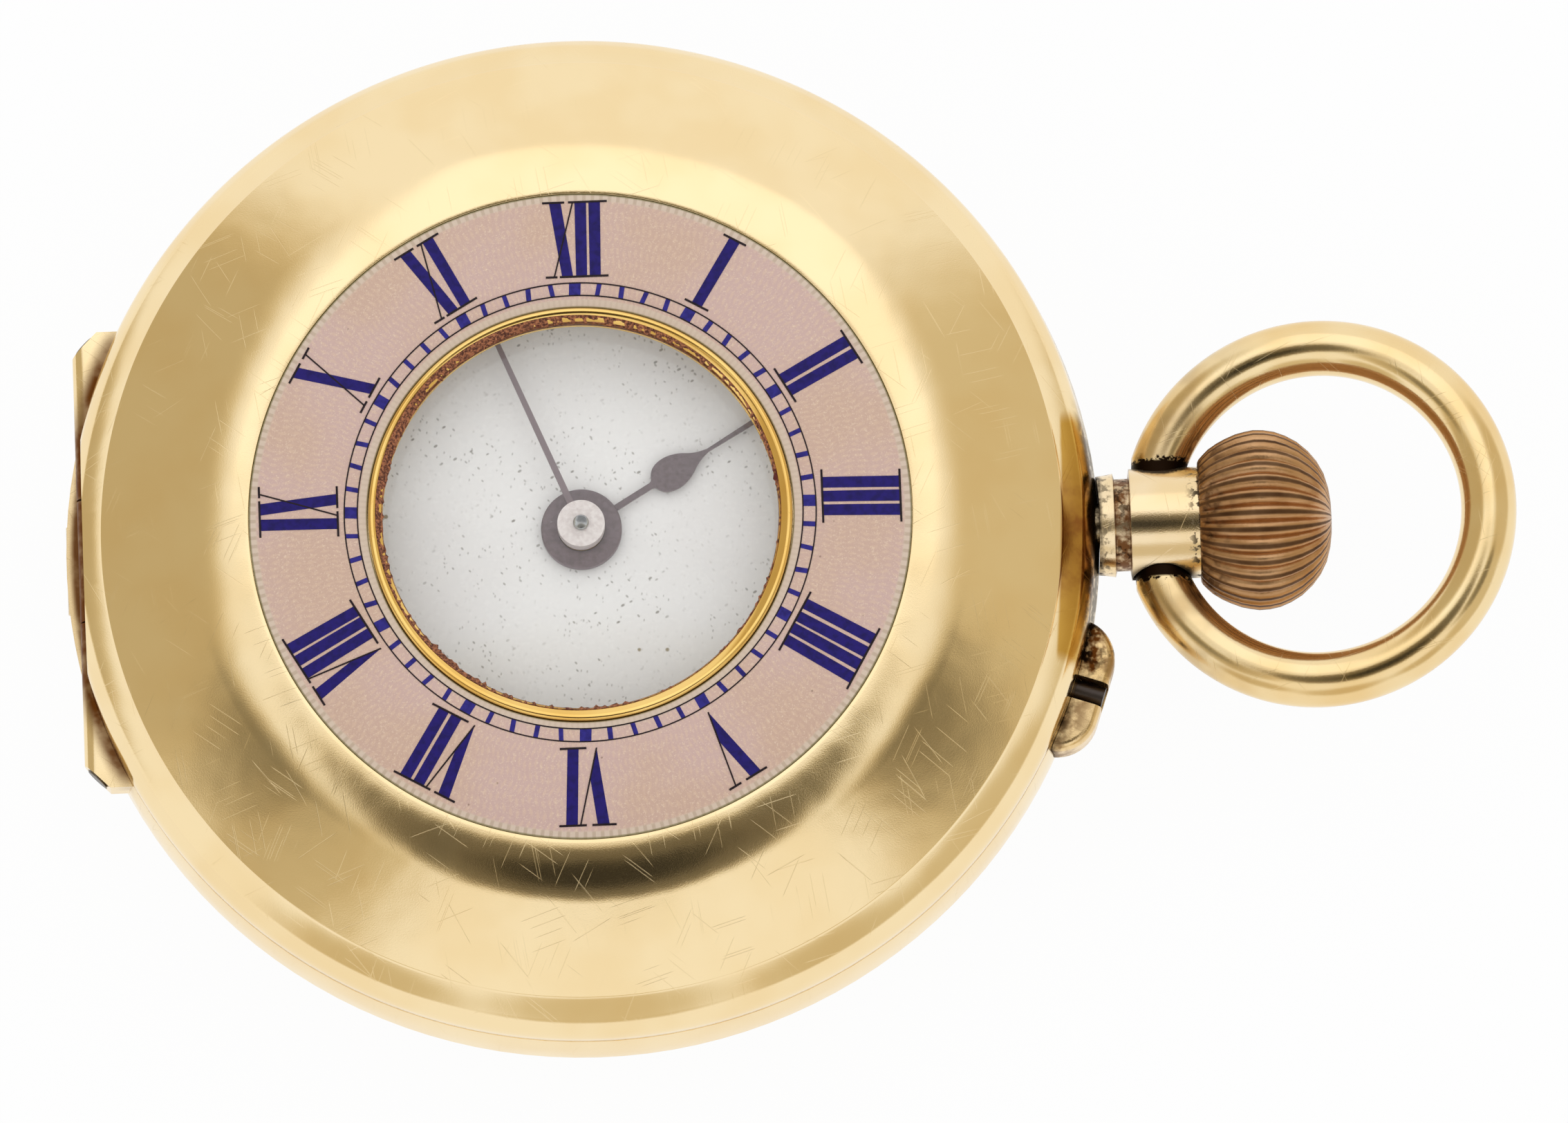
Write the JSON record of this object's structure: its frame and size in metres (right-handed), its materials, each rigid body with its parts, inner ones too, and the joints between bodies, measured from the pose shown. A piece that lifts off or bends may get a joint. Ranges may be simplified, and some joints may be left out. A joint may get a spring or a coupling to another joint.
{
  "type": "half hunter pocket watch",
  "caption": "Half hunter pocket watch: round gold case, hinged lid with an enamelled chapter ring and a small window over the hands, crown and bow at three o'clock.",
  "frame": {"origin": "centre of the flat on the back cover, on the axis of the hands", "axes": "+Z out of the dial along the axis of the hands, +X along the pendant and crown, +Y to twelve o'clock"},
  "size_m": [0.0489, 0.0348, 0.0101],
  "materials": {
    "gold": "satin gold with fine scratches",
    "pink_enamel": "glossy pale pink enamel",
    "clear_glass": "clear polished glass",
    "cement": "dry red-brown cement",
    "grey_steel": "worn grey steel",
    "polished_steel": "polished steel",
    "blued_steel": "blued steel",
    "white_enamel": "glossy white enamel",
    "grey_hand": "grey metal",
    "gilt_brass": "matt gilding",
    "yellow_brass": "bright brass",
    "ruby": "polished synthetic ruby"
  },
  "bodies": {
    "case": {"case_middle": "gold", "pendant": "gold", "push_piece_guard": "gold", "front_hinge_pin": "grey_steel", "back_hinge_pin": "grey_steel", "cuvette_hinge_pin": "grey_steel", "lift_spring": "polished_steel", "lock_spring": "polished_steel", "spring_screws": "polished_steel", "case_screws": "polished_steel", "inner_bezel": "gold", "dial_glass": "clear_glass", "dial": "white_enamel", "main_plate": "gilt_brass", "barrel_bridge": "gilt_brass", "train_bridge": "gilt_brass", "escape_cock": "gilt_brass", "pallet_cock": "gilt_brass", "balance_cock": "gilt_brass", "bridge_screws": "polished_steel", "winding_screws": "polished_steel", "plate_jewels": "ruby", "bridge_jewels": "ruby", "hairspring": "blued_steel", "click_spring": "polished_steel"},
    "front_lid": {"front_cover": "gold", "enamel_ring": "pink_enamel", "window_bezel": "gold", "window_glass": "clear_glass", "glass_cement": "cement"},
    "back": {"back_cover": "gold"},
    "inner_back": {"cuvette": "gold"},
    "bow": {"bow": "gold"},
    "winding_line": {"winding_pinion": "polished_steel"},
    "crown_and_stem": {"crown": "gold", "winding_stem": "polished_steel"},
    "sliding_wheel": {"castle_wheel": "polished_steel"},
    "push_piece": {"push_pin": "grey_steel"},
    "lever": {"setting_lever": "polished_steel"},
    "crown_wheel": {"crown_wheel": "polished_steel"},
    "ratchet": {"barrel_arbor": "polished_steel", "ratchet_wheel": "polished_steel", "ratchet_screw": "polished_steel"},
    "click": {"click": "polished_steel"},
    "barrel": {"barrel": "gilt_brass", "mainspring": "polished_steel"},
    "centre_arbor": {"centre_wheel": "yellow_brass", "cannon_pinion": "polished_steel", "minute_hand": "grey_hand"},
    "third_arbor": {"third_wheel": "yellow_brass"},
    "fourth_arbor": {"fourth_wheel": "yellow_brass"},
    "escape_arbor": {"escape_wheel": "polished_steel"},
    "pallet_arbor": {"pallet_fork": "polished_steel"},
    "balance": {"balance_wheel": "yellow_brass"},
    "index": {"regulator": "polished_steel"},
    "minute_wheel": {"minute_wheel": "yellow_brass"},
    "hour_wheel": {"hour_wheel": "yellow_brass", "hour_hand": "grey_hand"},
    "setting_wheel": {"setting_wheel": "polished_steel"}
  },
  "joints": [
    {"name": "front_cover_hinge", "type": "hinge", "parent": "case", "child": "front_lid", "pos_m": [-0.0166, 0, 0.00572], "axis": [0, -1, 0], "range_deg": [0, 90]},
    {"name": "back_cover_hinge", "type": "hinge", "parent": "case", "child": "back", "pos_m": [-0.01715, 0, 0.00455], "axis": [0, 1, 0], "range_deg": [0, 95]},
    {"name": "cuvette_hinge", "type": "hinge", "parent": "case", "child": "inner_back", "pos_m": [-0.01615, 0, 0.00375], "axis": [0, 1, 0], "range_deg": [0, 80.75]},
    {"name": "bow_swing", "type": "hinge", "parent": "case", "child": "bow", "pos_m": [0.0195, 0, 0.0054], "axis": [0, -1, 0], "range_deg": [-91, 79]},
    {"name": "winding_turn", "type": "hinge", "parent": "case", "child": "winding_line", "pos_m": [0.012, 0, 0.0054], "axis": [1, 0, 0], "continuous": true},
    {"name": "crown_press", "type": "slide", "parent": "winding_line", "child": "crown_and_stem", "axis": [-1, 0, 0], "range_m": [0, 0.0002], "stiffness_N_per_m": 300},
    {"name": "crown_wheel_turn", "type": "hinge", "parent": "case", "child": "crown_wheel", "pos_m": [0.01, 0, 0.00325], "axis": [0, 0, 1], "continuous": true},
    {"name": "ratchet_turn", "type": "hinge", "parent": "case", "child": "ratchet", "pos_m": [0.00315, 0.00546, 0.00325], "axis": [0, 0, 1], "continuous": true},
    {"name": "click_turn", "type": "hinge", "parent": "case", "child": "click", "pos_m": [0.0087, 0.00866, 0.00325], "axis": [0, 0, 1], "range_deg": [0, 8], "stiffness_Nm_per_rad": 0.0001},
    {"name": "push_press", "type": "slide", "parent": "case", "child": "push_piece", "axis": [-0.9455, 0.3256, 0], "range_m": [0, 0.0005], "stiffness_N_per_m": 200},
    {"name": "lever_turn", "type": "hinge", "parent": "case", "child": "lever", "pos_m": [0.01113, -0.00637, 0.00667], "axis": [0, 0, 1], "range_deg": [-0.5, 12.5]},
    {"name": "castle_slide", "type": "slide", "parent": "winding_line", "child": "sliding_wheel", "axis": [-1, 0, 0], "range_m": [-0.0001, 0.00125]},
    {"name": "third_turn", "type": "hinge", "parent": "case", "child": "third_arbor", "pos_m": [0.00045, -0.00515, 0.0047], "axis": [0, 0, 1], "continuous": true},
    {"name": "centre_turn", "type": "hinge", "parent": "case", "child": "centre_arbor", "pos_m": [0, 0, 0.006], "axis": [0, 0, 1], "continuous": true},
    {"name": "barrel_turn", "type": "hinge", "parent": "case", "child": "barrel", "pos_m": [0.00315, 0.00546, 0.005], "axis": [0, 0, 1], "continuous": true},
    {"name": "fourth_turn", "type": "hinge", "parent": "case", "child": "fourth_arbor", "pos_m": [-0.00373, -0.00442, 0.0054], "axis": [0, 0, 1], "continuous": true},
    {"name": "escape_turn", "type": "hinge", "parent": "case", "child": "escape_arbor", "pos_m": [-0.00549, -0.00137, 0.0049], "axis": [0, 0, 1], "continuous": true},
    {"name": "minute_wheel_turn", "type": "hinge", "parent": "case", "child": "minute_wheel", "pos_m": [0.00272, -0.00127, 0.0067], "axis": [0, 0, 1], "continuous": true},
    {"name": "hour_wheel_turn", "type": "hinge", "parent": "case", "child": "hour_wheel", "pos_m": [0, 0, 0.0068], "axis": [0, 0, 1], "continuous": true},
    {"name": "setting_wheel_turn", "type": "hinge", "parent": "case", "child": "setting_wheel", "pos_m": [0.00624, 0.00002, 0.0067], "axis": [0, 0, 1], "continuous": true},
    {"name": "pallet_swing", "type": "hinge", "parent": "case", "child": "pallet_arbor", "pos_m": [-0.00615, 0.00097, 0.0049], "axis": [0, 0, 1], "range_deg": [-5, 5]},
    {"name": "balance_swing", "type": "hinge", "parent": "case", "child": "balance", "pos_m": [-0.0072, 0.0047, 0.0038], "axis": [0, 0, 1], "range_deg": [-270, 270], "stiffness_Nm_per_rad": 0.000001},
    {"name": "index_turn", "type": "hinge", "parent": "case", "child": "index", "pos_m": [-0.0072, 0.0047, 0.0025], "axis": [0, 0, 1], "range_deg": [-20, 20]}
  ],
  "couplings": [
    {"joint": "cuvette_hinge", "follows": "back_cover_hinge", "ratio": 0.85},
    {"joint": "crown_wheel_turn", "follows": "winding_turn", "ratio": 0.61538},
    {"joint": "ratchet_turn", "follows": "winding_turn", "ratio": -0.3956},
    {"joint": "lever_turn", "follows": "push_press", "rad_per_m": 416.7},
    {"joint": "castle_slide", "follows": "push_press", "ratio": 2.29},
    {"joint": "centre_turn", "follows": "third_turn", "ratio": -0.125},
    {"joint": "barrel_turn", "follows": "third_turn", "ratio": 0.015625},
    {"joint": "fourth_turn", "follows": "third_turn", "ratio": -7.5},
    {"joint": "escape_turn", "follows": "third_turn", "ratio": 75},
    {"joint": "minute_wheel_turn", "follows": "third_turn", "ratio": 0.041667},
    {"joint": "hour_wheel_turn", "follows": "third_turn", "ratio": -0.010417},
    {"joint": "setting_wheel_turn", "follows": "third_turn", "ratio": -0.0625}
  ]
}
